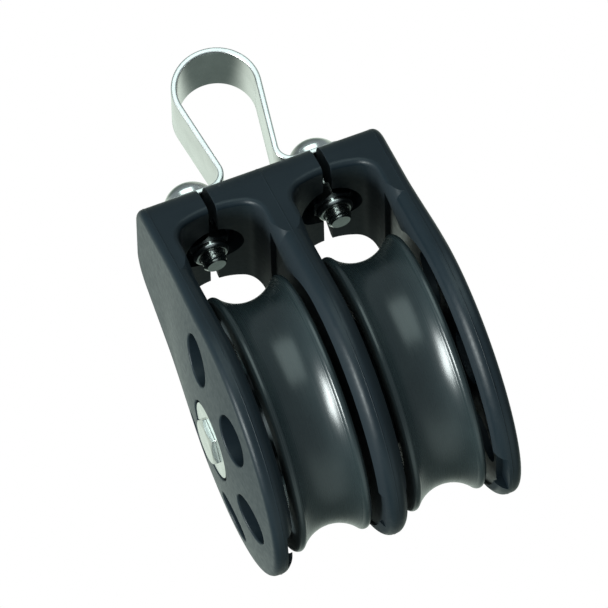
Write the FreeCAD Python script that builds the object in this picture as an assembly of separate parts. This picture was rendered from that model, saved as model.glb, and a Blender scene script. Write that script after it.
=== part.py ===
"""Double plain-bearing block with a fixed strap eye, built from its separate pieces.

Frame: millimetres. The origin is the middle of the axle. Y runs along the axle, from the
left cheek (-Y) to the right cheek (+Y). Z points from the axle to the strap eye, and X is
the direction in which the lines enter and leave, so the block is symmetric front to back.
"""
import FreeCAD, Part
import math
import os

# ---- driving dimensions, millimetres --------------------------------------------------

SHEAVE_RADIUS = 26.1            # over the crests of the lips
GROOVE_ROOT_RADIUS = 23.0       # from the axle to the bottom of the groove
GROOVE_ARC_RADIUS = 8.0         # the round line groove is wider than its line
RIM_HALF_WIDTH = 7.6
HUB_HALF_WIDTH = 8.55
HUB_RADIUS = 12.0
WEB_HALF_WIDTH = 6.0            # between hub and rim each side face is dished
WEB_INNER_RADIUS = 13.0
WEB_OUTER_RADIUS = 19.5
WEB_EDGE_RADIUS = 20.5          # outer edge of the dish, at the rim's side face

BAY_PITCH = 23.8                # distance between the middles of the two sheaves
BAY_HALF_WIDTH = 8.75           # from a sheave's middle to the cheek on either side
HEAD_HALF_WIDTH = 25.2          # from the middle to the flat outer face of a cheek
DOME_HEIGHT = 3.0               # rise of a cheek's outer face at the axle
DOME_RADIUS = 36.0              # where the dome has run out into the flat
DOME_RUNOUT_RADIUS = 60.0       # hollow arc that leads the dome into the flat

CHEEK_FOOT_RADIUS = 29.0        # lower end of a cheek, around the axle
HEAD_TOP = 47.8                 # flat seat of the strap
HEAD_CORNER_RADIUS = 8.2
HEAD_FLAT_HALF = 6.6            # half the length of that flat, front to back
CHEEK_EDGE_ROUND = 1.4
LIP_ROUND = 1.0                 # along the arched mouth of each bay
NOSE_DEPTH = 5.0                # the cheeks' edges beside the sheaves are half an ellipse:
NOSE_RISE = 2.8                 # this far in from the edge, and this far across the cheek
NOSE_TOP = 27.0                 # above this the nose fades out over NOSE_FADE
NOSE_FADE = 8.0

ARCH_TOP = 39.4                 # underside of the head at a sheave's middle
ARCH_CROWN_RADIUS = 18.0
ARCH_CORNER_RADIUS = 4.5
SLOT_HALF_WIDTH = 0.9           # gap between two mouldings in the head

RECESS_RADIUS = 26.2            # shallow relief beside each sheave
RECESS_DEPTH = 1.0
RECESS_HALF_LENGTH = 14.1       # its square upper part, which ends under the head
RECESS_TOP = 31.2
BOSS_RADIUS = 9.0
DRAIN_HALF_WIDTH = 6.2          # gap in the rim ribs at the lower end
DRAIN_TOP = -25.0
DRAIN_DEPTH = 2.3

LIGHTENING_RADIUS = 5.3
LIGHTENING_PITCH_RADIUS = 18.75
LIGHTENING_ANGLES = (-90, -30, 30, 150, 210)
HOLE_ROUND = 0.35               # on the outer edges of the cheeks' holes

AXLE_RADIUS = 3.0
AXLE_HOLE_RADIUS = 3.1
SLEEVE_RADIUS = 5.0
SHEAVE_BORE_RADIUS = 5.05       # running clearance 0.05 on the sleeve
WASHER_RADIUS = 7.85
WASHER_THICKNESS = 1.6
HEAD_WASHER_FACE = 27.85        # from the middle to the left washer's outer face
NUT_WASHER_FACE = 25.2          # the right washer is sunk, so that the nut hardly stands out
WASHER_ROUND = 0.3
COUNTERBORE_RADIUS = 8.3
AXLE_HEAD_FLATS = 9.0
AXLE_HEAD_HEIGHT = 1.25
AXLE_NUT_FLATS = 10.0
AXLE_NUT_HEIGHT = 3.4
AXLE_END_SHOWING = 0.3
AXLE_TIP_CHAMFER = 0.5

STRAP_THICKNESS = 1.2
STRAP_HALF_WIDTH = 6.7
STRAP_EDGE_ROUND = 0.35
EYE_CENTRE = 68.4
EYE_MIDDLE_RADIUS = 8.35        # to the middle of the strip
LEG_LEAN = 8.8                  # degrees that each leg leans in below the eye
FOOT_BEND_RADIUS = 3.2          # to the middle of the strip
FOOT_END = 19.4
FOOT_CORNER = 3.0

SCREW_SPACING = 26.0            # between the two strap screws
SCREW_RADIUS = 2.5
SCREW_HOLE_RADIUS = 2.7
SCREW_HEAD_RADIUS = 5.0
SCREW_HEAD_HEIGHT = 4.8
SCREW_CROWN_ROUND = 2.9         # rounding of the head up to its small flat top
SCREW_LENGTH = 14.0
SCREW_TIP_CHAMFER = 0.5
SCREW_SOCKET_FLATS = 3.0
SCREW_SOCKET_DEPTH = 2.0
POCKET_RADIUS = 6.3             # round pocket for each strap nut
POCKET_OFFSET = 12.3
POCKET_TOP = 42.4
STRAP_NUT_FLATS = 8.0
STRAP_NUT_HEIGHT = 5.0

INSERT_SHARE = 0.3              # part of a lock nut's height that holds its nylon ring
INSERT_LID_SHARE = 0.25         # part of that height that closes over the ring
COLLAR_SHARE = 0.47             # radii of a lock nut's collar and ring, as parts of its flats
RING_SHARE = 0.39
COLLAR_ROUND_SHARE = 0.6        # rounding of the collar's top, as a part of the ring's height
FAR = 80.0                      # past everything, for cuts
TOUCH = 0.01                    # nearer than this, two places count as one

# ---- derived ---------------------------------------------------------------------------

LEFT_BAY = -BAY_PITCH / 2
RIGHT_BAY = BAY_PITCH / 2
INNER_FACE = BAY_PITCH / 2 + BAY_HALF_WIDTH     # inner face of an outer cheek
CORE_FACE = BAY_PITCH / 2 - BAY_HALF_WIDTH      # face of the centre cheek
CORNER_CENTRE = HEAD_TOP - HEAD_CORNER_RADIUS
FLANK_LEAN = (math.atan2(CORNER_CENTRE, HEAD_FLAT_HALF)     # of the flank's normal, from +X
              - math.acos((CHEEK_FOOT_RADIUS - HEAD_CORNER_RADIUS)
                          / math.hypot(HEAD_FLAT_HALF, CORNER_CENTRE)))
DOME_SLOPE = 2 * math.atan(DOME_HEIGHT / DOME_RADIUS)
DOME_ARC_RADIUS = DOME_RADIUS / math.sin(DOME_SLOPE) - DOME_RUNOUT_RADIUS
FOOT_TOP = HEAD_TOP + STRAP_THICKNESS
GROOVE_CENTRE = GROOVE_ROOT_RADIUS + GROOVE_ARC_RADIUS
LIP_REACH = RIM_HALF_WIDTH + SHEAVE_RADIUS - GROOVE_CENTRE + GROOVE_ARC_RADIUS
# The lip is one arc that touches the groove, the crest radius and the rim's side face.
LIP_RADIUS = LIP_REACH - math.sqrt(LIP_REACH ** 2 + GROOVE_ARC_RADIUS ** 2 - RIM_HALF_WIDTH ** 2
                                   - (GROOVE_CENTRE - SHEAVE_RADIUS) ** 2)


def vec(x, y, z):
    return FreeCAD.Vector(x, y, z)


def arc(start, middle, end):
    return Part.Arc(start, middle, end).toShape()


def line(start, end):
    return Part.makeLine(start, end)


def face_of(edges):
    return Part.Face(Part.Wire(Part.__sortEdges__(edges)))


def cylinder_y(radius, y0, y1, x=0.0, z=0.0):
    return Part.makeCylinder(radius, y1 - y0, vec(x, y0, z), vec(0, 1, 0))


def cylinder_z(radius, z0, z1, x=0.0, y=0.0):
    return Part.makeCylinder(radius, z1 - z0, vec(x, y, z0), vec(0, 0, 1))


def box(x0, x1, y0, y1, z0, z1):
    return Part.makeBox(x1 - x0, y1 - y0, z1 - z0, vec(x0, y0, z0))


def mirror_y(shape):
    return shape.mirror(vec(0, 0, 0), vec(0, 1, 0))


def hexagon_y(flats, y0, y1):
    """Hexagonal prism along Y with a corner pointing up."""
    corner = flats / math.sqrt(3)
    points = [vec(corner * math.sin(k * math.pi / 3), y0, corner * math.cos(k * math.pi / 3))
              for k in range(7)]
    return Part.Face(Part.makePolygon(points)).extrude(vec(0, y1 - y0, 0))


def hexagon_z(flats, z0, z1, y=0.0):
    """Hexagonal prism along Z with a corner towards the front."""
    corner = flats / math.sqrt(3)
    points = [vec(corner * math.cos(k * math.pi / 3), y + corner * math.sin(k * math.pi / 3), z0)
              for k in range(7)]
    return Part.Face(Part.makePolygon(points)).extrude(vec(0, 0, z1 - z0))


# ---- cheeks ----------------------------------------------------------------------------

def cheek_outline(y0, y1):
    """Side view of the mouldings: round lower end, straight flanks, flat top with corners."""
    def on_foot(angle):
        return vec(CHEEK_FOOT_RADIUS * math.cos(angle), y0, CHEEK_FOOT_RADIUS * math.sin(angle))

    def on_corner(side, angle):
        return vec(side * (HEAD_FLAT_HALF + HEAD_CORNER_RADIUS * math.cos(angle)), y0,
                   CORNER_CENTRE + HEAD_CORNER_RADIUS * math.sin(angle))

    quarter = math.pi / 2
    right_foot, left_foot = on_foot(FLANK_LEAN), on_foot(math.pi - FLANK_LEAN)
    edges = [arc(right_foot, on_foot(-quarter), left_foot)]
    for side, foot in ((1, right_foot), (-1, left_foot)):
        edges.append(line(foot, on_corner(side, FLANK_LEAN)))
        edges.append(arc(on_corner(side, FLANK_LEAN), on_corner(side, (FLANK_LEAN + quarter) / 2),
                         on_corner(side, quarter)))
    edges.append(line(on_corner(-1, quarter), on_corner(1, quarter)))
    return face_of(edges).extrude(vec(0, y1 - y0, 0))


def domed_disc(y_inner):
    """Body of revolution on the axle whose left face is the domed outer face of a cheek."""
    def on_dome(angle):
        return vec(DOME_ARC_RADIUS * math.sin(angle),
                   -(HEAD_HALF_WIDTH + DOME_HEIGHT) + DOME_ARC_RADIUS * (1 - math.cos(angle)), 0)

    def on_runout(angle):
        return vec(DOME_RADIUS - DOME_RUNOUT_RADIUS * math.sin(angle),
                   -HEAD_HALF_WIDTH - DOME_RUNOUT_RADIUS * (1 - math.cos(angle)), 0)

    rim_out = vec(FAR, -HEAD_HALF_WIDTH, 0)
    rim_in = vec(FAR, y_inner, 0)
    middle_in = vec(0, y_inner, 0)
    edges = [
        arc(on_dome(0), on_dome(DOME_SLOPE / 2), on_dome(DOME_SLOPE)),
        arc(on_dome(DOME_SLOPE), on_runout(DOME_SLOPE / 2), on_runout(0)),
        line(on_runout(0), rim_out),
        line(rim_out, rim_in),
        line(rim_in, middle_in),
        line(middle_in, on_dome(0)),
    ]
    return face_of(edges).revolve(vec(0, 0, 0), vec(0, 1, 0), 360)


def bay_opening(bay):
    """Space of one sheave: open below, arched under the head, right through front to back."""
    corner_y = BAY_HALF_WIDTH - ARCH_CORNER_RADIUS
    crown_centre = ARCH_TOP - ARCH_CROWN_RADIUS
    reach = ARCH_CROWN_RADIUS - ARCH_CORNER_RADIUS
    meet = math.acos(corner_y / reach)
    corner_z = crown_centre + reach * math.sin(meet)

    def on_corner(side, angle):
        return vec(-FAR, bay + side * (corner_y + ARCH_CORNER_RADIUS * math.cos(angle)),
                   corner_z + ARCH_CORNER_RADIUS * math.sin(angle))

    low_right = vec(-FAR, bay + BAY_HALF_WIDTH, -FAR)
    low_left = vec(-FAR, bay - BAY_HALF_WIDTH, -FAR)
    edges = [line(low_left, low_right),
             arc(on_corner(1, meet), vec(-FAR, bay, ARCH_TOP), on_corner(-1, meet))]
    for side, low in ((1, low_right), (-1, low_left)):
        edges.append(line(low, on_corner(side, 0)))
        edges.append(arc(on_corner(side, 0), on_corner(side, meet / 2), on_corner(side, meet)))
    return face_of(edges).extrude(vec(2 * FAR, 0, 0))


def sheave_relief(y0, y1):
    """Shallow relief beside a sheave, around the boss that its hub runs against."""
    upper = box(-RECESS_HALF_LENGTH, RECESS_HALF_LENGTH, y0, y1, 0, RECESS_TOP)
    return cylinder_y(RECESS_RADIUS, y0, y1).fuse(upper).cut(cylinder_y(BOSS_RADIUS, y0, y1))


def strap_fixing(side):
    """Screw hole and round nut pocket under one foot of the strap."""
    hole = cylinder_z(SCREW_HOLE_RADIUS, 0, FAR, y=side * SCREW_SPACING / 2)
    pocket = cylinder_z(POCKET_RADIUS, 0, POCKET_TOP, y=side * POCKET_OFFSET)
    return hole.fuse(pocket.common(box(-FAR, FAR, -FAR, FAR, ARCH_TOP - 5, FAR)))


def nose_cut(wall, into):
    """What is cut from a cheek's edge to leave the elliptical nose beside one sheave.

    The cut starts on the wall at y = wall, and goes in the direction into (1 or -1). It runs
    around the foot and up both flanks, and fades out towards the head.
    """
    margin = 1.0
    inner = CHEEK_FOOT_RADIUS - NOSE_DEPTH
    across = vec(math.cos(FLANK_LEAN), 0, math.sin(FLANK_LEAN))

    def at(radius, rise):
        return across * radius + vec(0, wall + into * rise, 0)

    halfway = at(inner + NOSE_DEPTH * math.sqrt(0.5), NOSE_RISE * (1 - math.sqrt(0.5)))
    ellipse = Part.Ellipse(at(CHEEK_FOOT_RADIUS, NOSE_RISE), at(inner, 0), at(inner, NOSE_RISE))
    ends = sorted(ellipse.parameter(p) for p in (at(CHEEK_FOOT_RADIUS, NOSE_RISE), at(inner, 0)))
    nose = Part.ArcOfEllipse(ellipse, ends[0], ends[1])
    if nose.toShape().distToShape(Part.Vertex(halfway))[0] > TOUCH:
        nose = Part.ArcOfEllipse(ellipse, ends[1], ends[0])
    corners = [at(inner, 0), at(inner, -margin), at(CHEEK_FOOT_RADIUS + margin, -margin),
               at(CHEEK_FOOT_RADIUS + margin, NOSE_RISE), at(CHEEK_FOOT_RADIUS, NOSE_RISE)]
    profile = face_of([nose.toShape()] + [line(a, b) for a, b in zip(corners, corners[1:])])
    around = profile.revolve(vec(0, 0, 0), vec(0, 1, 0), 180 + 2 * math.degrees(FLANK_LEAN))
    up = vec(-math.sin(FLANK_LEAN), 0, math.cos(FLANK_LEAN))
    climb = up * ((NOSE_TOP - CHEEK_FOOT_RADIUS * math.sin(FLANK_LEAN)) / math.cos(FLANK_LEAN))
    flank = profile.extrude(climb)
    fade = profile.translated(climb).extrude(up * NOSE_FADE + across * NOSE_DEPTH)
    mirrored = [run.mirror(vec(0, 0, 0), vec(1, 0, 0)) for run in (flank, fade)]
    return around.multiFuse([flank, fade] + mirrored)


def lightening_centres():
    return [(LIGHTENING_PITCH_RADIUS * math.cos(math.radians(angle)),
             LIGHTENING_PITCH_RADIUS * math.sin(math.radians(angle)))
            for angle in LIGHTENING_ANGLES]


def lightening_holes(y0, y1):
    return [cylinder_y(LIGHTENING_RADIUS, y0, y1, x, z) for x, z in lightening_centres()]


def hole_rims(shape, floor):
    """Outer edges of the lightening holes and of the washer's counterbore, above its floor."""
    found = []
    for edge in shape.Edges:
        if edge.Length < math.pi * LIGHTENING_RADIUS:
            continue
        around = [p for p in edge.discretize(9) if p.y < -INNER_FACE - RECESS_DEPTH - TOUCH]
        on_washer = all(abs(math.hypot(p.x, p.z) - COUNTERBORE_RADIUS) < TOUCH for p in around)
        on_hole = any(all(abs(math.hypot(p.x - x, p.z - z) - LIGHTENING_RADIUS) < TOUCH
                          for p in around) for x, z in lightening_centres())
        if len(around) == 9 and (on_hole or on_washer and around[0].y < floor - TOUCH):
            found.append(edge)
    return found


def outline_distance(point):
    """How far a point lies inside the side outline of the mouldings."""
    x, z = abs(point.x), point.z
    if math.atan2(z, x) < FLANK_LEAN:
        return CHEEK_FOOT_RADIUS - math.hypot(x, z)
    flank = CHEEK_FOOT_RADIUS - x * math.cos(FLANK_LEAN) - z * math.sin(FLANK_LEAN)
    over_x, over_z = x - HEAD_FLAT_HALF, z - CORNER_CENTRE
    if over_x > 0 and math.atan2(over_z, over_x) > FLANK_LEAN:
        return HEAD_CORNER_RADIUS - math.hypot(over_x, over_z)
    if over_x <= 0:
        return min(flank, HEAD_TOP - z)
    return flank


def rim_edges(shape, y_low, y_high, z_high):
    """Edges that lie on the side outline all along, with their middle between the limits."""
    found = []
    for edge in shape.Edges:
        if edge.Length < TOUCH:
            continue
        samples = edge.discretize(7)
        middle = samples[3]
        on_outline = all(abs(outline_distance(p)) < 2 * TOUCH for p in samples)
        if on_outline and y_low < middle.y < y_high and middle.z < z_high:
            found.append(edge)
    return found


def outer_cheek(washer_face):
    """Left cheek: domed plate, rim ribs around the sheave, and its part of the head."""
    floor = WASHER_THICKNESS - washer_face
    slot_face = LEFT_BAY - SLOT_HALF_WIDTH
    shape = domed_disc(slot_face).common(cheek_outline(-FAR, slot_face))
    shape = shape.makeFillet(CHEEK_EDGE_ROUND,
                             rim_edges(shape, -FAR, -HEAD_HALF_WIDTH + TOUCH, FAR))
    shape = shape.cut(bay_opening(LEFT_BAY))
    shape = shape.cut(strap_fixing(-1))
    shape = shape.makeFillet(LIP_ROUND, rim_edges(shape, -INNER_FACE - TOUCH, slot_face - TOUCH,
                                                  ARCH_TOP + TOUCH))
    drain = box(-DRAIN_HALF_WIDTH, DRAIN_HALF_WIDTH, -INNER_FACE - DRAIN_DEPTH, 0, -FAR, DRAIN_TOP)
    cuts = [sheave_relief(-INNER_FACE - RECESS_DEPTH, -INNER_FACE), drain,
            cylinder_y(AXLE_HOLE_RADIUS, -FAR, 0), nose_cut(-INNER_FACE, -1),
            cylinder_y(COUNTERBORE_RADIUS, -FAR, floor)]
    shape = shape.cut(cuts + lightening_holes(-FAR, 0))
    return shape.makeFillet(HOLE_ROUND, hole_rims(shape, floor))


def centre_cheek():
    """Middle cheek: T-shaped, with the inner parts of both heads."""
    slot_face = RIGHT_BAY - SLOT_HALF_WIDTH
    shape = cheek_outline(-slot_face, slot_face)
    for side, bay in ((-1, LEFT_BAY), (1, RIGHT_BAY)):
        shape = shape.cut(bay_opening(bay)).cut(strap_fixing(side))
    shape = shape.makeFillet(LIP_ROUND, rim_edges(shape, TOUCH - slot_face, slot_face - TOUCH,
                                                  ARCH_TOP + TOUCH))
    relief = sheave_relief(CORE_FACE - RECESS_DEPTH, CORE_FACE)
    drain = box(-DRAIN_HALF_WIDTH, DRAIN_HALF_WIDTH, CORE_FACE - RECESS_DEPTH, FAR, -FAR, DRAIN_TOP)
    cuts = [relief, mirror_y(relief), drain, mirror_y(drain), nose_cut(CORE_FACE, -1),
            nose_cut(-CORE_FACE, 1), cylinder_y(AXLE_HOLE_RADIUS, -FAR, FAR)]
    return shape.cut(cuts)


# ---- sheaves and their bearings --------------------------------------------------------

def sheave(bay):
    """Turned sheave: round groove, rounded lips, dished sides and a plain bore."""
    lip_y = RIM_HALF_WIDTH - LIP_RADIUS
    lip_height = SHEAVE_RADIUS - LIP_RADIUS
    turn = math.atan2(GROOVE_CENTRE - lip_height, lip_y)

    def at(radius, y):
        return vec(radius, bay + y, 0)

    def on_lip(side, angle):
        return at(lip_height + LIP_RADIUS * math.sin(angle),
                  side * (lip_y + LIP_RADIUS * math.cos(angle)))

    meet = math.pi - turn
    edges = [arc(on_lip(-1, meet), at(GROOVE_ROOT_RADIUS, 0), on_lip(1, meet))]
    for side in (-1, 1):
        corners = [(lip_height, RIM_HALF_WIDTH), (WEB_EDGE_RADIUS, RIM_HALF_WIDTH),
                   (WEB_OUTER_RADIUS, WEB_HALF_WIDTH), (WEB_INNER_RADIUS, WEB_HALF_WIDTH),
                   (HUB_RADIUS, HUB_HALF_WIDTH), (SHEAVE_BORE_RADIUS, HUB_HALF_WIDTH)]
        points = [at(radius, side * y) for radius, y in corners]
        edges.append(arc(on_lip(side, meet), on_lip(side, meet / 2), on_lip(side, 0)))
        edges += [line(a, b) for a, b in zip(points, points[1:])]
    edges.append(line(at(SHEAVE_BORE_RADIUS, -HUB_HALF_WIDTH),
                      at(SHEAVE_BORE_RADIUS, HUB_HALF_WIDTH)))
    return face_of(edges).revolve(vec(0, 0, 0), vec(0, 1, 0), 360)


def bearing_sleeve(bay):
    """Steel tube that the sheave turns on; its ends hold the cheeks apart."""
    tube = cylinder_y(SLEEVE_RADIUS, bay - BAY_HALF_WIDTH, bay + BAY_HALF_WIDTH)
    return tube.cut(cylinder_y(AXLE_HOLE_RADIUS, bay - FAR, bay + FAR))


# ---- axle ------------------------------------------------------------------------------

def axle_bolt():
    end = NUT_WASHER_FACE + AXLE_NUT_HEIGHT + AXLE_END_SHOWING
    head_end = -HEAD_WASHER_FACE - AXLE_HEAD_HEIGHT
    shank = cylinder_y(AXLE_RADIUS, -HEAD_WASHER_FACE, end)
    tip = [edge for edge in shank.Edges if abs(edge.CenterOfMass.y - end) < TOUCH]
    shank = shank.makeChamfer(AXLE_TIP_CHAMFER, tip)
    head = hexagon_y(AXLE_HEAD_FLATS, head_end, -HEAD_WASHER_FACE)
    corner_cone = Part.makeCone(AXLE_HEAD_FLATS / 2, AXLE_HEAD_FLATS, AXLE_HEAD_FLATS,
                                vec(0, head_end, 0), vec(0, 1, 0))
    return shank.fuse(head.common(corner_cone))


def axle_washer(face):
    """Washer in the left cheek, as under the axle's head, with its outer rim rounded."""
    disc = cylinder_y(WASHER_RADIUS, -face, -face + WASHER_THICKNESS)
    rim = [edge for edge in disc.Edges if abs(edge.CenterOfMass.y + face) < TOUCH]
    return disc.makeFillet(WASHER_ROUND, rim).cut(cylinder_y(AXLE_HOLE_RADIUS, -FAR, FAR))


def lock_nut(flats, height, bore):
    """Lock nut standing on z = 0 along +Z: hexagon, round collar, and the bore of its ring."""
    ring = height * INSERT_SHARE
    hexagon = hexagon_z(flats, 0, height - ring)
    chamfer = Part.makeCone(flats / 2, flats, flats, vec(0, 0, 0), vec(0, 0, 1))
    collar = cylinder_z(flats * COLLAR_SHARE, 0, height)
    top = [edge for edge in collar.Edges if abs(edge.CenterOfMass.z - height) < TOUCH]
    collar = collar.makeFillet(ring * COLLAR_ROUND_SHARE, top)
    body = hexagon.common(chamfer).fuse(collar).cut(cylinder_z(bore, -1, height + 1))
    return body.cut(cylinder_z(flats * RING_SHARE, height - ring, height - ring * INSERT_LID_SHARE))


def lock_ring(flats, height, bore):
    """Nylon ring inside the collar of that nut."""
    ring = height * INSERT_SHARE
    outer = cylinder_z(flats * RING_SHARE, height - ring, height - ring * INSERT_LID_SHARE)
    return outer.cut(cylinder_z(bore, -1, height + 1))


def on_right_end(shape):
    """Turns a piece that stands on z = 0 so that it stands on the right washer."""
    turned = shape.copy()
    turned.rotate(vec(0, 0, 0), vec(1, 0, 0), -90)
    turned.translate(vec(0, NUT_WASHER_FACE, 0))
    return turned


def under_head(shape, side):
    """Hangs a piece that stands on z = 0 under the roof of one nut pocket."""
    turned = shape.copy()
    turned.rotate(vec(0, 0, 0), vec(1, 0, 0), 180)
    turned.translate(vec(0, side * SCREW_SPACING / 2, POCKET_TOP))
    return turned


# ---- strap eye and its screws ----------------------------------------------------------

def strip_run(start, end):
    """Straight run of the strap, as a face, between two points (y, z) of its middle line."""
    length = math.hypot(end[0] - start[0], end[1] - start[1])
    side_y = -(end[1] - start[1]) / length * STRAP_THICKNESS / 2
    side_z = (end[0] - start[0]) / length * STRAP_THICKNESS / 2
    corners = [(start[0] + side_y, start[1] + side_z), (end[0] + side_y, end[1] + side_z),
               (end[0] - side_y, end[1] - side_z), (start[0] - side_y, start[1] - side_z)]
    points = [vec(-STRAP_HALF_WIDTH, y, z) for y, z in corners]
    return Part.Face(Part.makePolygon(points + points[:1]))


def strip_bend(centre, radius, first, last):
    """Bent run of the strap, as a face; angles in radians from +Y towards +Z."""
    def at(distance, angle):
        return vec(-STRAP_HALF_WIDTH, centre[0] + distance * math.cos(angle),
                   centre[1] + distance * math.sin(angle))

    middle = (first + last) / 2
    outer, inner = radius + STRAP_THICKNESS / 2, radius - STRAP_THICKNESS / 2
    return face_of([arc(at(outer, first), at(outer, middle), at(outer, last)),
                    arc(at(inner, first), at(inner, middle), at(inner, last)),
                    line(at(outer, first), at(inner, first)),
                    line(at(outer, last), at(inner, last))])


def runs_across(edge):
    """True for an edge that runs across the strip's width, or through its thickness."""
    start, end = edge.Vertexes[0].Point, edge.Vertexes[-1].Point
    through = edge.Length < STRAP_THICKNESS + TOUCH
    return through or abs(abs(end.x - start.x) - 2 * STRAP_HALF_WIDTH) < TOUCH


def eye_strap():
    """Bent strip: a round eye on two legs that lean in, each turned out into a foot."""
    lean = math.radians(LEG_LEAN)
    foot_middle = HEAD_TOP + STRAP_THICKNESS / 2
    bend_z = foot_middle + FOOT_BEND_RADIUS
    bend_y = ((EYE_MIDDLE_RADIUS + FOOT_BEND_RADIUS + (bend_z - EYE_CENTRE) * math.sin(lean))
              / math.cos(lean))
    leg_top = (EYE_MIDDLE_RADIUS * math.cos(lean), EYE_CENTRE - EYE_MIDDLE_RADIUS * math.sin(lean))
    leg_foot = (bend_y - FOOT_BEND_RADIUS * math.cos(lean), bend_z + FOOT_BEND_RADIUS * math.sin(lean))
    half = [strip_run(leg_top, leg_foot),
            strip_bend((bend_y, bend_z), FOOT_BEND_RADIUS, math.pi - lean, 1.5 * math.pi),
            strip_run((bend_y, foot_middle), (FOOT_END, foot_middle))]
    faces = half + [mirror_y(face) for face in half]
    faces.append(strip_bend((0, EYE_CENTRE), EYE_MIDDLE_RADIUS, -lean, math.pi + lean))
    runs = [face.extrude(vec(2 * STRAP_HALF_WIDTH, 0, 0)) for face in faces]
    strap = runs[0].multiFuse(runs[1:]).removeSplitter()
    ends = [edge for edge in strap.Edges
            if all(abs(abs(v.Y) - FOOT_END) < TOUCH for v in edge.Vertexes) and edge.Length < 2]
    strap = strap.makeFillet(FOOT_CORNER, ends)
    rims = [edge for edge in strap.Edges if not runs_across(edge)]
    strap = strap.makeFillet(STRAP_EDGE_ROUND, rims)
    holes = [cylinder_z(SCREW_HOLE_RADIUS, 0, FOOT_TOP + 1, y=side * SCREW_SPACING / 2)
             for side in (-1, 1)]
    return strap.cut(holes)


def strap_screw(side):
    """Pan-head screw through one foot, with a hexagon socket in its head."""
    y = side * SCREW_SPACING / 2
    end = FOOT_TOP - SCREW_LENGTH
    shank = cylinder_z(SCREW_RADIUS, end, FOOT_TOP, y=y)
    tip = [edge for edge in shank.Edges if abs(edge.CenterOfMass.z - end) < TOUCH]
    shank = shank.makeChamfer(SCREW_TIP_CHAMFER, tip)
    top = FOOT_TOP + SCREW_HEAD_HEIGHT
    head = cylinder_z(SCREW_HEAD_RADIUS, FOOT_TOP, top, y=y)
    crown = [edge for edge in head.Edges if abs(edge.CenterOfMass.z - top) < TOUCH]
    head = head.makeFillet(SCREW_CROWN_ROUND, crown)
    socket = hexagon_z(SCREW_SOCKET_FLATS, top - SCREW_SOCKET_DEPTH, top + 1, y)
    return shank.fuse(head).cut(socket)


# ---- all pieces --------------------------------------------------------------------------

def pieces():
    axle_nut = (AXLE_NUT_FLATS, AXLE_NUT_HEIGHT, AXLE_RADIUS)
    strap_nut = (STRAP_NUT_FLATS, STRAP_NUT_HEIGHT, SCREW_RADIUS)
    found = {
        "left_cheek": outer_cheek(HEAD_WASHER_FACE),
        "centre_cheek": centre_cheek(),
        "right_cheek": mirror_y(outer_cheek(NUT_WASHER_FACE)),
        "axle_bolt": axle_bolt(),
        "axle_head_washer": axle_washer(HEAD_WASHER_FACE),
        "axle_nut_washer": mirror_y(axle_washer(NUT_WASHER_FACE)),
        "axle_nut": on_right_end(lock_nut(*axle_nut)),
        "axle_nut_ring": on_right_end(lock_ring(*axle_nut)),
        "eye_strap": eye_strap(),
    }
    for name, side, bay in (("left", -1, LEFT_BAY), ("right", 1, RIGHT_BAY)):
        found[name + "_sheave"] = sheave(bay)
        found[name + "_bearing_sleeve"] = bearing_sleeve(bay)
        found[name + "_strap_screw"] = strap_screw(side)
        found[name + "_strap_nut"] = under_head(lock_nut(*strap_nut), side)
        found[name + "_strap_nut_ring"] = under_head(lock_ring(*strap_nut), side)
    return found


os.makedirs("parts", exist_ok=True)
for node, solid in pieces().items():
    solid.exportStep("parts/" + node + ".step")
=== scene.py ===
"""Looks of a double plain-bearing block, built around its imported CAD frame.

Metres, in the CAD's own frame: the origin is the middle of the axle, Y runs along the axle
from the left cheek to the right one, Z points to the strap eye, and X is front to back.
"""

import bmesh
import bpy
import math
import random
from mathutils import Matrix, Vector


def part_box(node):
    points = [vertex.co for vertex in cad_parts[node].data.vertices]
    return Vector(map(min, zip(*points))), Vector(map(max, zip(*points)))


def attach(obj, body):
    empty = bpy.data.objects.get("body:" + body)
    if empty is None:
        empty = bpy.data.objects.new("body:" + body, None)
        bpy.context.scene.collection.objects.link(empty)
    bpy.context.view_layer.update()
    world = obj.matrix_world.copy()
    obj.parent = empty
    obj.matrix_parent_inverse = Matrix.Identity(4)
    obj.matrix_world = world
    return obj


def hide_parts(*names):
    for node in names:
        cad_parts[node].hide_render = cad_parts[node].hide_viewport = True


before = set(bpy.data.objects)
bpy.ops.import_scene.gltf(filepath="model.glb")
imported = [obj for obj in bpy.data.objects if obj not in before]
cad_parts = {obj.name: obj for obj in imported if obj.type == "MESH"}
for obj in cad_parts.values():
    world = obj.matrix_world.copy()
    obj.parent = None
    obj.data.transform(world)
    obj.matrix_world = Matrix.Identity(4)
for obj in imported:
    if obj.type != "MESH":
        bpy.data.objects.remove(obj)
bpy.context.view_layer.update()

MM = 0.001
TAU = 2 * math.pi

# ---- sizes that the frame's boxes don't give ------------------------------------------------

SHEAVE_BORE_RADIUS = 5.05 * MM
HUB_RADIUS = 12.0 * MM
WEB_HALF_WIDTH = 6.0 * MM
WEB_INNER_RADIUS = 13.0 * MM
WEB_OUTER_RADIUS = 19.5 * MM
WEB_EDGE_RADIUS = 20.5 * MM
RIM_HALF_WIDTH = 7.6 * MM
GROOVE_ROOT_RADIUS = 23.0 * MM
GROOVE_ARC_RADIUS = 8.0 * MM
LIP_RADIUS = 0.865 * MM
SHEAVE_MIDDLE = 11.9 * MM           # from the block's middle to each sheave's
LIP_LINE_DEPTH = 0.03 * MM          # the turned line where groove and lip meet
LIP_LINE_STEP = 3                   # its place, counted in the groove's steps from the lip
LIP_STEPS = 14
GROOVE_STEPS = 46
SOFT_EDGE = 0.4 * MM                # a sheave's corners, and the blend between two finishes

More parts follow.
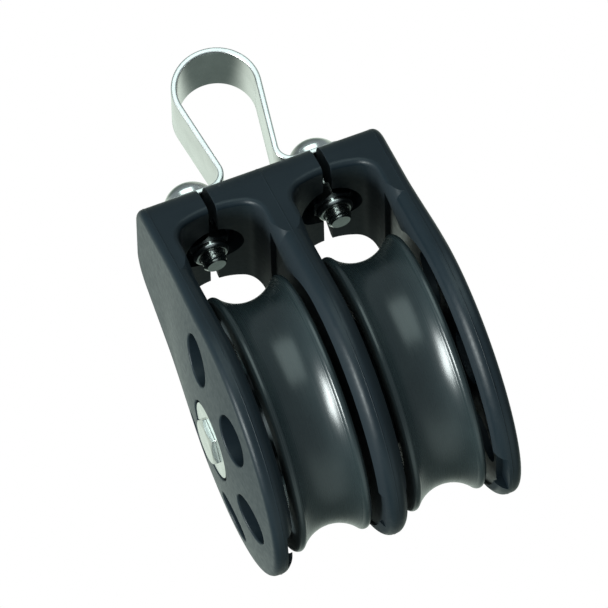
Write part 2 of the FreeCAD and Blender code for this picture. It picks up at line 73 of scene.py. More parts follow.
HEAD_CORNER_RADIUS = 8.2 * MM       # side outline of the cheeks
HEAD_FLAT_HALF = 6.6 * MM
NOSE_CREST = 23.62 * MM             # middle of an outer cheek's rounded edge
PARTING_WIDTH = 0.22 * MM
PARTING_HEIGHT = 0.09 * MM

AXLE_RADIUS = 3.0 * MM
AXLE_PITCH = 1.0 * MM
AXLE_HEAD_FLATS = 9.0 * MM
AXLE_HEAD_HEIGHT = 1.25 * MM
AXLE_NUT_FLATS = 10.0 * MM
WASHER_BORE_RADIUS = 3.1 * MM
WASHER_ROUND = 0.3 * MM

SCREW_RADIUS = 2.5 * MM
SCREW_PITCH = 0.8 * MM
SCREW_HEAD_HEIGHT = 4.8 * MM
SCREW_SIDE_HEIGHT = 1.9 * MM        # straight part of the head, under its crown
SCREW_SOCKET_FLATS = 3.0 * MM
SCREW_SOCKET_DEPTH = 2.0 * MM
STRAP_NUT_FLATS = 8.0 * MM

STRAP_THICKNESS = 1.2 * MM
STRAP_EDGE_ROUND = 0.4 * MM
EYE_MIDDLE_RADIUS = 8.35 * MM       # all strap radii are to the middle of the strip
FOOT_BEND_RADIUS = 3.2 * MM
FOOT_CORNER = 3.0 * MM
LEG_LEAN = math.radians(8.8)

COLLAR_SHARE = 0.47                 # of a lock nut's flats
RING_SHARE = 0.39
MOUTH_SHARE = 0.345
INSERT_SHARE = 0.3                  # of a lock nut's height
CRIMP_SHARE = 0.25                  # of the insert's height
CHAMFER_SLOPE = 0.577               # chamfers of hexagons stand at 30 degrees
FACE_SHARE = 0.475                  # radius of a hexagon's round face, of its flats
CORNER_SHARE = 0.569                # reach of its blunted corners, of its flats

THREAD_DEPTH_SHARE = 0.6            # of the pitch
THREAD_STEPS = 10                   # rows in one pitch

FINE = 192                          # steps round a sheave
ROUND = 96                          # steps round the smaller turned pieces
FOOT_CORNER_STEPS = 8

# ---- finishes --------------------------------------------------------------------------------

BAY_REACH = 21.2 * MM               # past the bays' inner walls, short of the recesses in them
WALL_ROUGHNESS = 0.35               # by which those walls are duller than the outside
FLANK_ROUGHNESS = 0.55              # by which a sheave's sides are duller than its groove
EDGE_ROUGHNESS = 0.3                # by which the strip's edges are duller than its faces

# ---- view and studio -------------------------------------------------------------------------

VIEW_AZIMUTH = 80.08
VIEW_ELEVATION = -25.47
VIEW_ROLL = -23.77
VIEW_CENTRE = Vector((0.0080, -0.00167, 0.01714))
VIEW_DISTANCE = 4.0                 # the view is nearly parallel
VIEW_WIDTH = 0.11794                # width of the picture at that centre
SENSOR_WIDTH = 36.0

FLOOR_DROP = 2.3
FLOOR_HALF = 14.0

COOL = (0.80, 1.0, 0.97)            # colours that the object is lit by and reflects
FRONT_TONE = (0.26, 0.31, 0.33, 1)
BACK_TONE = (0.13, 0.17, 0.155, 1)
WALL_TONE = (0.78, 0.90, 0.81, 1)


# ---- meshes ----------------------------------------------------------------------------------

def on_axis(origin, direction, corner):
    """Matrix that puts local Z along a direction and local X towards a corner."""
    up, side = Vector(direction), Vector(corner)
    turn = Matrix((side, up.cross(side), up)).transposed()
    return Matrix.Translation(origin) @ turn.to_4x4()


def add_piece(name, mesh_parts, material, body, replaced=(), sharp=32):
    """Links a finished bmesh as a piece that rides on a body."""
    bmesh.ops.recalc_face_normals(mesh_parts, faces=mesh_parts.faces)
    mesh = bpy.data.meshes.new(name)
    mesh_parts.to_mesh(mesh)
    mesh_parts.free()
    mesh.shade_smooth()
    mesh.set_sharp_from_angle(angle=math.radians(sharp))
    mesh.materials.append(material)
    piece = bpy.data.objects.new(name, mesh)
    bpy.context.scene.collection.objects.link(piece)
    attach(piece, body)
    if replaced:
        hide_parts(*replaced)
    return piece


def loft(place, rows, segments=ROUND, closed=False):
    """Skin over rows around local Z.

    A row is a pair (radius, height), or a function of the angle that gives the pair. A row of
    no radius is a single point.
    """
    skin = bmesh.new()
    rings = []
    for row in rows:
        if not callable(row) and row[0] == 0:
            rings.append([skin.verts.new(place @ Vector((0, 0, row[1])))])
            continue
        ring = []
        for k in range(segments):
            angle = TAU * k / segments
            radius, height = row(angle) if callable(row) else row
            point = Vector((radius * math.cos(angle), radius * math.sin(angle), height))
            ring.append(skin.verts.new(place @ point))
        rings.append(ring)
    pairs = list(zip(rings, rings[1:]))
    if closed:
        pairs.append((rings[-1], rings[0]))
    for low, high in pairs:
        for k in range(segments):
            n = (k + 1) % segments
            corners = [low[k % len(low)], low[n % len(low)],
                       high[n % len(high)], high[k % len(high)]]
            skin.faces.new(list(dict.fromkeys(corners)))
    return skin


def arc(centre, radius, first, last, steps):
    """Profile points on a circle; angles in radians from the radial direction."""
    found = []
    for k in range(steps + 1):
        angle = first + (last - first) * k / steps
        found.append((centre[0] + radius * math.cos(angle),
                      centre[1] + radius * math.sin(angle)))
    return found


def rounded(points, radius, steps=4):
    """The same open profile with its corners turned into small curves."""
    path = [Vector(p) for p in points]
    done = [path[0]]
    for before, corner, after in zip(path, path[1:], path[2:]):
        back, on = before - corner, after - corner
        start = corner + back.normalized() * min(radius, back.length * 0.45)
        end = corner + on.normalized() * min(radius, on.length * 0.45)
        for k in range(steps + 1):
            share = k / steps
            done.append(start.lerp(corner, share).lerp(corner.lerp(end, share), share))
    done.append(path[-1])
    return [tuple(p) for p in done]


def rounded_loop(points, radius):
    """A closed profile with all its corners rounded."""
    return rounded([points[-1]] + points + [points[0]], radius)[1:-1]


def hexagon(flats, angle):
    """Distance from the middle to a hexagon's side; a corner is at angle 0."""
    past = (angle % (TAU / 6)) - TAU / 12
    return min(flats / 2 / math.cos(past), flats * CORNER_SHARE)


def hex_row(flats, height, chamfer=0, shrink=1.0):
    """Row on a hexagon whose height bends away from a face by the chamfer's slope."""
    face = flats * FACE_SHARE

    def row(angle):
        reach = hexagon(flats, angle) * shrink
        return reach, height + chamfer * (reach - face) * CHAMFER_SLOPE

    return row


def thread_rows(radius, pitch, low, high, tip_below):
    """Rows of a helical thread between two heights, cut back to a cone at its tip."""
    depth = THREAD_DEPTH_SHARE * pitch
    step = pitch / THREAD_STEPS
    count = round((high - low) / step)
    rows = []
    for k in range(count + 1):
        height = low + (high - low) * k / count

        def row(angle, height=height):
            phase = (height / pitch - angle / TAU) % 1
            ramp = min(1, max(0, abs(2 * phase - 1) * 1.3 - 0.15))
            from_tip = height - low if tip_below else high - height
            cone = radius - depth * 1.2 + from_tip
            fade = min(1, (high - height if tip_below else height - low) / pitch)
            return min(radius - depth * ramp * fade, cone), height

        rows.append(row)
    return rows


# ---- pieces ----------------------------------------------------------------------------------

def sheave_profile(radius, hub_half):
    """Closed profile of a sheave: bore, hub, dish, rim, lip, groove, and back."""
    lip_height = radius - LIP_RADIUS
    lip_y = RIM_HALF_WIDTH - LIP_RADIUS
    groove_centre = GROOVE_ROOT_RADIUS + GROOVE_ARC_RADIUS
    meet = math.atan2(lip_y, groove_centre - lip_height)
    side = rounded([(SHEAVE_BORE_RADIUS, 0), (SHEAVE_BORE_RADIUS, hub_half),
                    (HUB_RADIUS, hub_half), (WEB_INNER_RADIUS, WEB_HALF_WIDTH),
                    (WEB_OUTER_RADIUS, WEB_HALF_WIDTH), (WEB_EDGE_RADIUS, RIM_HALF_WIDTH),
                    (lip_height, RIM_HALF_WIDTH)], SOFT_EDGE)[1:]
    lip = []
    for k in range(1, LIP_STEPS):
        angle = k * (math.pi / 2 + meet) / LIP_STEPS
        lip.append((lip_height + LIP_RADIUS * math.sin(angle),
                    lip_y + LIP_RADIUS * math.cos(angle)))
    groove = []
    for k in range(GROOVE_STEPS + 1):
        angle = meet * (1 - k / GROOVE_STEPS)
        reach = GROOVE_ARC_RADIUS + (LIP_LINE_DEPTH if k == LIP_LINE_STEP else 0)
        groove.append((groove_centre - reach * math.cos(angle), reach * math.sin(angle)))
    half = side + lip + groove
    return half + [(r, -y) for r, y in reversed(half[:-1])]


def make_sheave(name, material):
    low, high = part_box(name)
    middle = (low.y + high.y) / 2
    place = on_axis((0, middle, 0), (0, 1, 0), (1, 0, 0))
    skin = loft(place, sheave_profile(high.z, (high.y - low.y) / 2), FINE, closed=True)
    add_piece(name + "_turned", skin, material, name, [name])


def make_washer(name, inward, material):
    """Washer with its outer rims rounded; inward is the direction towards the cheek."""
    low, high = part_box(name)
    outer_face = low.y if inward > 0 else high.y
    place = on_axis((0, outer_face, 0), (0, inward, 0), (0, 0, 1))
    radius, thickness = high.z, high.y - low.y
    profile = rounded_loop([(WASHER_BORE_RADIUS, 0), (radius, 0), (radius, thickness),
                            (WASHER_BORE_RADIUS, thickness)], WASHER_ROUND)
    add_piece(name + "_round", loft(place, profile, ROUND, closed=True), material,
              "frame", [name])


def make_axle(material):
    """Hexagon-headed axle bolt with a threaded end on the right."""
    low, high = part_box("axle_bolt")
    length = high.y - low.y
    place = on_axis((0, low.y, 0), (0, 1, 0), (0, 0, 1))
    thread_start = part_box("axle_nut")[0].y - low.y
    face = AXLE_HEAD_FLATS * FACE_SHARE
    rows = [(0, 0.05 * MM), (face * 0.5, 0.03 * MM), (face * 0.93, 0), (face, 0.04 * MM),
            hex_row(AXLE_HEAD_FLATS, 0.08 * MM, 1), hex_row(AXLE_HEAD_FLATS, 0.6 * MM),
            hex_row(AXLE_HEAD_FLATS, AXLE_HEAD_HEIGHT - 0.1 * MM),
            hex_row(AXLE_HEAD_FLATS, AXLE_HEAD_HEIGHT, 0, 0.985),
            (AXLE_RADIUS, AXLE_HEAD_HEIGHT)]
    rows += thread_rows(AXLE_RADIUS, AXLE_PITCH, thread_start, length, tip_below=False)
    rows += [(AXLE_RADIUS * 0.7, length), (0, length)]
    add_piece("axle_bolt_threaded", loft(place, rows), material, "frame",
              ["axle_bolt"])


def lock_nut_rows(flats, height, bore):
    """Closed rows of a lock nut that stands on height 0, its crimped collar on top."""
    ring = height * INSERT_SHARE
    hex_top = height - ring
    face = flats * FACE_SHARE
    collar, cavity, mouth = flats * COLLAR_SHARE, flats * RING_SHARE, flats * MOUTH_SHARE
    crimp = height - ring * CRIMP_SHARE
    collar_round = ring * 0.6
    rows = [(bore, 0.3 * MM), (bore + 0.3 * MM, 0), (face * 0.97, 0), (face, 0.03 * MM),
            hex_row(flats, 0.06 * MM, 1), hex_row(flats, hex_top * 0.5),
            hex_row(flats, hex_top - 0.06 * MM, -1), (collar + 0.1 * MM, hex_top),
            (collar, hex_top + 0.12 * MM)]
    rows += arc((collar - collar_round, height - collar_round), collar_round, 0, TAU / 4, 8)
    rows += [(mouth + 0.12 * MM, height), (mouth, height - 0.1 * MM), (mouth, crimp),
             (cavity, crimp), (cavity, hex_top), (bore, hex_top)]
    return rows


def lock_ring_rows(flats, height, bore):
    """Closed rows of the nylon ring in that nut, bulged a little between collar and thread."""
    ring = height * INSERT_SHARE
    low, high = height - ring, height - ring * CRIMP_SHARE
    outer = flats * RING_SHARE
    return rounded_loop([(bore * 0.93, low), (outer, low), (outer, high),
                         ((outer + bore) / 2, high + 0.08 * MM), (bore * 0.93, high)],
                        0.15 * MM)


def make_lock_nut(nut, place, flats, bore, metal, nylon):
    low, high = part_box(nut)
    height = min(high - low)
    add_piece(nut + "_crimped", loft(place, lock_nut_rows(flats, height, bore), closed=True),
              metal, "frame", [nut])
    add_piece(nut + "_insert", loft(place, lock_ring_rows(flats, height, bore), closed=True),
              nylon, "frame", [nut + "_ring"])


def screw_head_rows(radius):
    """Rows of a pan head that stands on height 0, from its underside to its hexagon socket."""
    crown = SCREW_HEAD_HEIGHT - SCREW_SIDE_HEIGHT
    sphere = (radius ** 2 + crown ** 2) / (2 * crown)
    centre = SCREW_HEAD_HEIGHT - sphere
    socket_edge = SCREW_SOCKET_FLATS * 0.66

    def on_crown(reach):
        return reach, centre + math.sqrt(sphere ** 2 - reach ** 2)

    curve = [on_crown(radius - (radius - socket_edge) * k / 14) for k in range(15)]
    sides = [(SCREW_RADIUS, 0), (radius - 0.3 * MM, 0), (radius, 0.3 * MM)]
    rows = rounded(sides + curve[:1] + curve[2:], 0.8 * MM)
    rim = rows[-1][1]
    floor = SCREW_HEAD_HEIGHT - SCREW_SOCKET_DEPTH
    rows += [hex_row(SCREW_SOCKET_FLATS, rim - 0.02 * MM, 0, 1.06),
             hex_row(SCREW_SOCKET_FLATS, rim - 0.15 * MM),
             hex_row(SCREW_SOCKET_FLATS, floor),
             (SCREW_SOCKET_FLATS * 0.2, floor - 0.25 * MM), (0, floor - 0.35 * MM)]
    return rows


def make_strap_screw(side, metal, nylon):
    """Strap screw with its lock nut under the head of the block."""
    screw, nut = side + "_strap_screw", side + "_strap_nut"
    low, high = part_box(screw)
    y = (low.y + high.y) / 2
    underside = high.z - SCREW_HEAD_HEIGHT
    tip = low.z - underside
    place = on_axis((0, y, underside), (0, 0, 1), (1, 0, 0))
    rows = [(0, tip), (SCREW_RADIUS * 0.7, tip)]
    rows += thread_rows(SCREW_RADIUS, SCREW_PITCH, tip, -1.0 * MM, tip_below=True)
    rows += screw_head_rows((high.y - low.y) / 2)
    add_piece(screw + "_threaded", loft(place, rows), metal, "frame", [screw])
    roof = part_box(nut)[1].z
    make_lock_nut(nut, on_axis((0, y, roof), (0, 0, -1), (1, 0, 0)), STRAP_NUT_FLATS,
                  SCREW_RADIUS, metal, nylon)


def bend(centre, radius, first, last, steps):
    """Middle line of a bent run of the strap: points (y, z) with their directions."""
    found = []
    for k in range(steps + 1):
        angle = first + (last - first) * k / steps
        turn = math.copysign(1, last - first)
        found.append((centre[0] + radius * math.cos(angle), centre[1] + radius * math.sin(angle),
                      -turn * math.sin(angle), turn * math.cos(angle)))
    return found


def strap_sections():
    """Sections along half the strap, from the end of its right foot to the top of the eye.

    Each is (y, z) of the strip's middle, its direction (y, z), and half its width.
    """
    low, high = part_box("eye_strap")
    foot_z = low.z + STRAP_THICKNESS / 2
    eye_z = high.z - STRAP_THICKNESS / 2 - EYE_MIDDLE_RADIUS
    bend_z = foot_z + FOOT_BEND_RADIUS
    bend_y = ((EYE_MIDDLE_RADIUS + FOOT_BEND_RADIUS + (bend_z - eye_z) * math.sin(LEG_LEAN))
              / math.cos(LEG_LEAN))
    found = []
    for k in range(FOOT_CORNER_STEPS + 1):
        angle = k * TAU / 4 / FOOT_CORNER_STEPS
        reach = high.y - FOOT_CORNER * (1 - math.cos(angle))
        half_width = high.x - FOOT_CORNER * (1 - math.sin(angle))
        found.append((reach, foot_z, -1, 0, half_width))
    bends = bend((bend_y, bend_z), FOOT_BEND_RADIUS, -math.pi / 2, -math.pi - LEG_LEAN, 24)
    bends += bend((0, eye_z), EYE_MIDDLE_RADIUS, -LEG_LEAN, math.pi / 2, 56)
    return found + [(*row, high.x) for row in bends]


def strip_ring(skin, section, side):
    """Ring of vertices around one section of the strap; side -1 mirrors it to the left."""
    y, z, along_y, along_z, half_width = section
    corner = STRAP_EDGE_ROUND
    flat_x, flat_t = half_width - corner, STRAP_THICKNESS / 2 - corner
    ring = []
    for k, (sign_x, sign_t) in enumerate(((1, 1), (-1, 1), (-1, -1), (1, -1))):
        for j in range(7):
            angle = (k + j / 6) * TAU / 4
            across = sign_x * flat_x + corner * math.cos(angle)
            through = sign_t * flat_t + corner * math.sin(angle)
            place = (across, side * (y - along_z * through), z + along_y * through)
            ring.append(skin.verts.new(place))
    return ring


def make_strap(material):
    """Bent strip with rounded edges: the eye, two leaning legs, and two feet."""
    skin = bmesh.new()
    half = strap_sections()
    rings = [strip_ring(skin, section, 1) for section in half]
    rings += [strip_ring(skin, section, -1) for section in reversed(half[:-1])]
    for low, high in zip(rings, rings[1:]):
        for k in range(len(low)):
            n = (k + 1) % len(low)
            skin.faces.new([low[k], low[n], high[n], high[k]])
    skin.faces.new(rings[0])
    skin.faces.new(rings[-1])
    add_piece("eye_strap_strip", skin, material, "frame", ["eye_strap"])


def bridge(found, point, out, step):
    """Adds even points on the straight run from the last one found to the next."""
    start = found[-1][0]
    gap = point - start
    extra = int(gap.length / step)
    for j in range(extra):
        found.append((start + gap * (j + 1) / (extra + 1), out))


def cheek_outline(step):
    """Points around the cheeks' side outline, each with its outward direction."""
    low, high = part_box("centre_cheek")
    foot, corner = high.x, HEAD_CORNER_RADIUS
    corner_z = high.z - corner
    lean = (math.atan2(corner_z, HEAD_FLAT_HALF)
            - math.acos((foot - corner) / math.hypot(HEAD_FLAT_HALF, corner_z)))
    runs = [((0, 0), foot, lean, -math.pi - lean),
            ((-HEAD_FLAT_HALF, corner_z), corner, math.pi - lean, math.pi / 2),
            ((HEAD_FLAT_HALF, corner_z), corner, math.pi / 2, lean)]
    found = []
    for centre, radius, first, last in runs:
        count = math.ceil(radius * abs(last - first) / step)
        for k in range(count + 1):
            angle = first + (last - first) * k / count
            out = Vector((math.cos(angle), 0, math.sin(angle)))
            start = Vector((centre[0], 0, centre[1])) + out * radius
            if found:
                bridge(found, start, out, step)
            found.append((start, out))
    bridge(found, *found[0], step)
    return found


def parting_line(name, y, seed, material):
    """Fine raised mould line around a cheek's edge, uneven as moulding flash is."""
    draw = random.Random(seed)
    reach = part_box("centre_cheek")[1].x
    path = cheek_outline(0.6 * MM)
    raw = [0.35 + 0.65 * draw.random() * (1.7 if draw.random() < 0.07 else 1) for _ in path]
    count = len(path)
    skin = bmesh.new()
    rings = []
    for k, (point, out) in enumerate(path):
        swell = (raw[k - 1] + 2 * raw[k] + raw[(k + 1) % count]) / 4
        half, height = PARTING_WIDTH / 2 * (0.7 + 0.3 * swell), PARTING_HEIGHT * swell
        section = [(-half, -0.1 * MM), (-half, 0), (-half * 0.5, height * 0.8), (0, height),
                   (half * 0.5, height * 0.8), (half, 0), (half, -0.1 * MM)]
        ring = []
        for across, rise in section:
            place = point + out * rise
            ring.append(skin.verts.new((max(-reach, min(reach, place.x)), y + across,
                                        max(-reach, place.z))))
        rings.append(ring)
    for low, high in zip(rings, rings[1:] + rings[:1]):
        for k in range(len(low)):
            n = (k + 1) % len(low)
            skin.faces.new([low[k], low[n], high[n], high[k]])
    add_piece(name, skin, material, "frame", sharp=60)


# ---- materials -------------------------------------------------------------------------------

def start_material(name, color, roughness, metallic=0.0):
    """New node material; returns it with its tree and its Principled shader."""
    material = bpy.data.materials.new(name)
    material.use_nodes = True
    shader = material.node_tree.nodes["Principled BSDF"]
    shader.inputs["Base Color"].default_value = (*color, 1)
    shader.inputs["Roughness"].default_value = roughness
    shader.inputs["Metallic"].default_value = metallic
    return material, material.node_tree, shader


def vector_math(tree, operation, first, second=None):
    made = tree.nodes.new("ShaderNodeVectorMath")
    made.operation = operation
    tree.links.new(first, made.inputs[0])
    if second is not None:
        made.inputs[1].default_value = second
    scalar = operation in ("LENGTH", "DOT_PRODUCT")
    return made.outputs["Value" if scalar else "Vector"]


def object_place(tree):
    return tree.nodes.new("ShaderNodeTexCoord").outputs["Object"]


def turned_place(tree, across, along, centre=(0, 0, 0)):
    """Coordinates that change only with the distance from an axis, and along it."""
    offset = vector_math(tree, "ABSOLUTE", object_place(tree))
    offset = vector_math(tree, "SUBTRACT", offset, centre)
    distance = vector_math(tree, "LENGTH", vector_math(tree, "MULTIPLY", offset, across))
    height = vector_math(tree, "DOT_PRODUCT", offset, along)
    joined = tree.nodes.new("ShaderNodeCombineXYZ")
    tree.links.new(distance, joined.inputs["X"])
    tree.links.new(height, joined.inputs["Y"])
    return joined.outputs["Vector"]


def noise(tree, place, scale, detail=3.0, roughness=0.5):
    made = tree.nodes.new("ShaderNodeTexNoise")
    made.inputs["Scale"].default_value = scale
    made.inputs["Detail"].default_value = detail
    made.inputs["Roughness"].default_value = roughness
    tree.links.new(place, made.inputs["Vector"])
    return made.outputs["Fac"]


def tones(tree, shader, value, dark, light):
    """Colours a surface between two tones as the value goes from low to high."""
    ramp = tree.nodes.new("ShaderNodeValToRGB")
    ramp.color_ramp.elements[0].position = 0.3
    ramp.color_ramp.elements[1].position = 0.7
    ramp.color_ramp.elements[0].color = (*dark, 1)
    ramp.color_ramp.elements[1].color = (*light, 1)
    tree.links.new(value, ramp.inputs["Fac"])
    tree.links.new(ramp.outputs["Color"], shader.inputs["Base Color"])


def gloss_range(tree, shader, value, low, high):
    """Varies the roughness between two limits."""
    made = tree.nodes.new("ShaderNodeMapRange")
    made.inputs["From Min"].default_value = 0.3
    made.inputs["From Max"].default_value = 0.7
    made.inputs["To Min"].default_value = low
    made.inputs["To Max"].default_value = high
    tree.links.new(value, made.inputs["Value"])
    tree.links.new(made.outputs["Result"], shader.inputs["Roughness"])


def relief(tree, shader, layers):
    """Stacks bump layers, each a pair of a height and its depth in metres."""
    below = None
    for height, depth in layers:
        bump = tree.nodes.new("ShaderNodeBump")
        bump.inputs["Distance"].default_value = depth
        tree.links.new(height, bump.inputs["Height"])
        if below is not None:
            tree.links.new(below, bump.inputs["Normal"])
        below = bump.outputs["Normal"]
    tree.links.new(below, shader.inputs["Normal"])


def facing(tree, axis):
    """How squarely a surface faces along an axis, from 0 to 1."""
    normal = tree.nodes.new("ShaderNodeTexCoord").outputs["Normal"]
    return vector_math(tree, "DOT_PRODUCT", vector_math(tree, "ABSOLUTE", normal), axis)


def sideways(tree):
    """Distance of a place from the block's middle along the axle."""
    return vector_math(tree, "DOT_PRODUCT", vector_math(tree, "ABSOLUTE", object_place(tree)),
                       (0, 1, 0))


def add_roughness(tree, shader, mask, extra):
    """Makes a surface duller by the extra where the mask is 1."""
    worn = shader.inputs["Roughness"].links[0].from_socket
    total = tree.nodes.new("ShaderNodeMath")
    total.operation = "MULTIPLY_ADD"
    total.inputs[1].default_value = extra
    tree.links.new(mask, total.inputs[0])
    tree.links.new(worn, total.inputs[2])
    tree.links.new(total.outputs["Value"], shader.inputs["Roughness"])


def cheek_nylon():
    """Glass-filled nylon: near black with a cool cast, and a fine moulded grain."""
    material, tree, shader = start_material("cheek_nylon_grain", (0.008, 0.013, 0.018), 0.5)
    shader.inputs["Specular IOR Level"].default_value = 0.24
    place = object_place(tree)
    cloud = noise(tree, place, 70, 3.0)
    tones(tree, shader, cloud, (0.0055, 0.0105, 0.0145), (0.0075, 0.0130, 0.0175))
    gloss_range(tree, shader, noise(tree, place, 900, 3.0), 0.38, 0.47)
    walls = times(tree, smooth_step(tree, facing(tree, (0, 1, 0)), 0.6, 0.9),
                  smooth_step(tree, sideways(tree), BAY_REACH + SOFT_EDGE, BAY_REACH))
    add_roughness(tree, shader, walls, WALL_ROUGHNESS)
    relief(tree, shader, [(noise(tree, place, 350, 2.0), 0.006 * MM),
                          (noise(tree, place, 3600, 3.0, 0.6), 0.008 * MM)])
    return material


def sheave_acetal():
    """Turned black acetal: satin, with faint rings from the tool."""
    material, tree, shader = start_material("sheave_acetal_turned", (0.018, 0.02, 0.021), 0.3)
    rings = turned_place(tree, (1, 0, 1), (0, 1, 0))
    cloud = noise(tree, object_place(tree), 120, 4.0, 0.6)
    tones(tree, shader, cloud, (0.0120, 0.0185, 0.0205), (0.0165, 0.0245, 0.0265))
    offset = vector_math(tree, "ABSOLUTE", object_place(tree))
    offset = vector_math(tree, "SUBTRACT", offset, (0, SHEAVE_MIDDLE, 0))
    aside = vector_math(tree, "DOT_PRODUCT", vector_math(tree, "ABSOLUTE", offset), (0, 1, 0))
    flank = smooth_step(tree, aside, RIM_HALF_WIDTH - SOFT_EDGE, RIM_HALF_WIDTH)
    gloss_range(tree, shader, noise(tree, rings, 1400, 2.0), 0.25, 0.29)
    add_roughness(tree, shader, flank, FLANK_ROUGHNESS)
    relief(tree, shader, [(noise(tree, rings, 4200, 1.0), 0.0002 * MM),
                          (noise(tree, object_place(tree), 1500, 2.0), 0.0004 * MM)])
    return material


def polished_steel():
    """Polished stainless strip with faint buffing lines along it."""
    material, tree, shader = start_material("strap_polish", (0.67, 0.66, 0.65), 0.16, 1.0)
    place = object_place(tree)
    lines = vector_math(tree, "MULTIPLY", place, (1.0, 0.06, 0.06))
    tones(tree, shader, noise(tree, place, 260, 3.0), (0.62, 0.615, 0.605), (0.72, 0.71, 0.70))
    gloss_range(tree, shader, noise(tree, lines, 2200, 4.0, 0.6), 0.13, 0.19)
    edge = smooth_step(tree, facing(tree, (1, 0, 0)), 0.45, 0.9)
    add_roughness(tree, shader, edge, EDGE_ROUGHNESS)
    relief(tree, shader, [(noise(tree, lines, 4200, 3.0), 0.0005 * MM)])
    return material


def turned_steel(name, across, along, centre=(0, 0, 0)):
    """Bright machined stainless steel with the rings that a lathe leaves."""
    material, tree, shader = start_material(name, (0.66, 0.66, 0.64), 0.22, 1.0)
    rings = turned_place(tree, across, along, centre)
    place = object_place(tree)
    tones(tree, shader, noise(tree, place, 500, 3.0), (0.58, 0.59, 0.57), (0.70, 0.70, 0.68))
    gloss_range(tree, shader, noise(tree, rings, 2500, 3.0), 0.17, 0.25)
    relief(tree, shader, [(noise(tree, rings, 5000, 2.0), 0.0002 * MM),
                          (noise(tree, place, 900, 2.0), 0.0008 * MM)])
    return material


def ring_nylon():
    """The plain nylon of a lock nut's insert."""
    material, tree, shader = start_material("lock_ring_satin", (0.03, 0.03, 0.035), 0.4)
    place = object_place(tree)
    tones(tree, shader, noise(tree, place, 800, 3.0), (0.02, 0.022, 0.026), (0.04, 0.042, 0.046))
    gloss_range(tree, shader, noise(tree, place, 1500, 2.0), 0.34, 0.48)
    relief(tree, shader, [(noise(tree, place, 3000, 2.0), 0.005 * MM)])
    return material


def floor_paint():
    """Pale matte studio floor, a little uneven in tone."""
    material, tree, shader = start_material("floor_paint", (0.85, 0.86, 0.86), 0.8)
    place = object_place(tree)
    tones(tree, shader, noise(tree, place, 2.0, 2.0), (0.84, 0.85, 0.85), (0.87, 0.875, 0.875))
    shader.inputs["Emission Color"].default_value = (0.95, 1.0, 1.0, 1)
    shader.inputs["Emission Strength"].default_value = 0.42
    return material


def paint(node, material):
    """Gives a carried-over CAD node its material."""
    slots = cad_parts[node].material_slots
    for entry in slots:
        entry.material = material
    if not len(slots):
        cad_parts[node].data.materials.append(material)


# ---- studio ----------------------------------------------------------------------------------

def make_camera():
    """Camera that looks up at the block from the front, low down and turned about its axis."""
    azimuth, elevation = math.radians(VIEW_AZIMUTH), math.radians(VIEW_ELEVATION)
    back = Vector((math.sin(azimuth) * math.cos(elevation),
                   -math.cos(azimuth) * math.cos(elevation), math.sin(elevation)))
    data = bpy.data.cameras.new("camera")
    data.sensor_width = SENSOR_WIDTH
    data.lens = SENSOR_WIDTH * VIEW_DISTANCE / VIEW_WIDTH
    camera = bpy.data.objects.new("camera", data)
    bpy.context.scene.collection.objects.link(camera)
    level = (-back).to_track_quat("-Z", "Y").to_matrix().to_4x4()
    camera.matrix_world = (Matrix.Translation(VIEW_CENTRE + back * VIEW_DISTANCE) @ level
                           @ Matrix.Rotation(math.radians(VIEW_ROLL), 4, "Z"))
    bpy.context.scene.camera = camera


def soft_box(name, direction, distance, width, height, radiance, color=(1, 1, 1)):
    """Rectangular soft light that faces the object from a direction; sizes in metres."""
    data = bpy.data.lights.new(name, "AREA")
    data.shape = "RECTANGLE"
    data.size, data.size_y = width, height
    data.energy = radiance * math.pi * width * height
    data.color = color
    light = bpy.data.objects.new(name, data)
    bpy.context.scene.collection.objects.link(light)
    away = Vector(direction).normalized()
    light.location = away * distance
    light.rotation_mode = "QUATERNION"
    light.rotation_quaternion = (-away).to_track_quat("-Z", "Y")
    light.visible_camera = False


def smooth_step(tree, value, low, high):
    made = tree.nodes.new("ShaderNodeMapRange")
    made.interpolation_type = "SMOOTHSTEP"
    made.inputs["From Min"].default_value = low
    made.inputs["From Max"].default_value = high
    tree.links.new(value, made.inputs["Value"])
    return made.outputs["Result"]


def times(tree, first, second):
    made = tree.nodes.new("ShaderNodeMath")
    made.operation = "MULTIPLY"
    tree.links.new(first, made.inputs[0])
    tree.links.new(second, made.inputs[1])
    return made.outputs["Value"]


def blend_colors(tree, factor, first, second):
    """Mixes two colours by a factor; the first may be the result of another mix."""
    mix = tree.nodes.new("ShaderNodeMix")
    mix.data_type = "RGBA"
    mix.inputs["B"].default_value = second
    if isinstance(first, tuple):
        mix.inputs["A"].default_value = first
    else:
        tree.links.new(first, mix.inputs["A"])
    tree.links.new(factor, mix.inputs["Factor"])
    return mix.outputs["Result"]


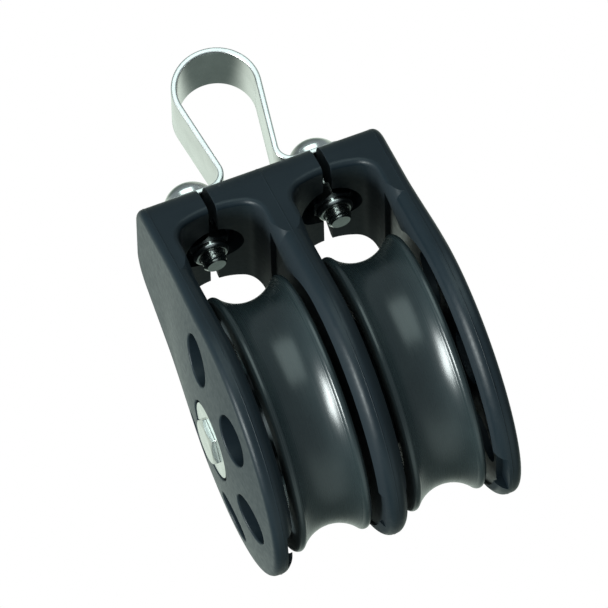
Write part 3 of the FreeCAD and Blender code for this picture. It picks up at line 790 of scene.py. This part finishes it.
def make_world():
    """White for the camera; the object reflects a pale wall behind and a glow from below."""
    world = bpy.data.worlds.new("studio")
    bpy.context.scene.world = world
    world.use_nodes = True
    tree = world.node_tree
    tree.nodes.clear()
    direction = tree.nodes.new("ShaderNodeTexCoord").outputs["Generated"]
    across = vector_math(tree, "DOT_PRODUCT", direction, (1, 0, 0))
    behind = smooth_step(tree, across, 0.25, -0.6)
    height = vector_math(tree, "DOT_PRODUCT", direction, (0, 0, 1))
    wall = times(tree, behind, smooth_step(tree, height, -0.28, 0.34))
    wall = times(tree, wall, smooth_step(tree, height, 0.88, 0.6))
    room = blend_colors(tree, behind, FRONT_TONE, BACK_TONE)
    glow = times(tree, smooth_step(tree, height, -0.55, -1.0),
                 smooth_step(tree, across, 0.5, -0.15))
    room = blend_colors(tree, glow, room, (*COOL, 1))
    surround = blend_colors(tree, wall, room, WALL_TONE)
    studio = tree.nodes.new("ShaderNodeBackground")
    tree.links.new(surround, studio.inputs["Color"])
    white = tree.nodes.new("ShaderNodeBackground")
    white.inputs["Color"].default_value = (1, 1, 1, 1)
    chooser = tree.nodes.new("ShaderNodeMixShader")
    ray = tree.nodes.new("ShaderNodeLightPath")
    tree.links.new(ray.outputs["Is Camera Ray"], chooser.inputs["Fac"])
    tree.links.new(studio.outputs["Background"], chooser.inputs[1])
    tree.links.new(white.outputs["Background"], chooser.inputs[2])
    output = tree.nodes.new("ShaderNodeOutputWorld")
    tree.links.new(chooser.outputs["Shader"], output.inputs["Surface"])


def make_floor():
    """Wide pale floor below the camera, kept out of the object's own reflections."""
    sheet = bmesh.new()
    bmesh.ops.create_grid(sheet, x_segments=8, y_segments=8, size=FLOOR_HALF)
    mesh = bpy.data.meshes.new("floor")
    sheet.to_mesh(mesh)
    sheet.free()
    mesh.materials.append(floor_paint())
    floor = bpy.data.objects.new("floor", mesh)
    bpy.context.scene.collection.objects.link(floor)
    floor.location.z = -FLOOR_DROP
    floor.visible_glossy = False


# ---- the block -------------------------------------------------------------------------------

nylon = cheek_nylon()
acetal = sheave_acetal()
axle_steel = turned_steel("axle_steel", (1, 0, 1), (0, 1, 0))
screw_axis = (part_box("right_strap_screw")[0].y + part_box("right_strap_screw")[1].y) / 2
screw_steel = turned_steel("screw_steel", (1, 1, 0), (0, 0, 1), (0, screw_axis, 0))
insert_nylon = ring_nylon()

for cheek in ("left_cheek", "centre_cheek", "right_cheek"):
    paint(cheek, nylon)
for sleeve in ("left_bearing_sleeve", "right_bearing_sleeve"):
    paint(sleeve, axle_steel)

for sheave in ("left_sheave", "right_sheave"):
    make_sheave(sheave, acetal)
make_washer("axle_head_washer", 1, axle_steel)
make_washer("axle_nut_washer", -1, axle_steel)
make_axle(axle_steel)
make_strap(polished_steel())
nut_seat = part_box("axle_nut")[0].y
make_lock_nut("axle_nut", on_axis((0, nut_seat, 0), (0, 1, 0), (0, 0, 1)), AXLE_NUT_FLATS,
              AXLE_RADIUS, axle_steel, insert_nylon)
for side in ("left", "right"):
    make_strap_screw(side, screw_steel, insert_nylon)
for name, y, seed in (("left", -NOSE_CREST, 3), ("centre", 0.0, 5), ("right", NOSE_CREST, 8)):
    parting_line(name + "_parting_line", y, seed, nylon)

make_camera()
make_world()
make_floor()
soft_box("upper_box", (0.90, 0.0, 0.38), 1.0, 0.95, 0.85, 2.2, COOL)
soft_box("left_strip", (0.37, -0.91, -0.19), 1.0, 0.32, 0.44, 40.0, (0.92, 1.0, 0.99))
bpy.context.scene.view_settings.view_transform = "Standard"
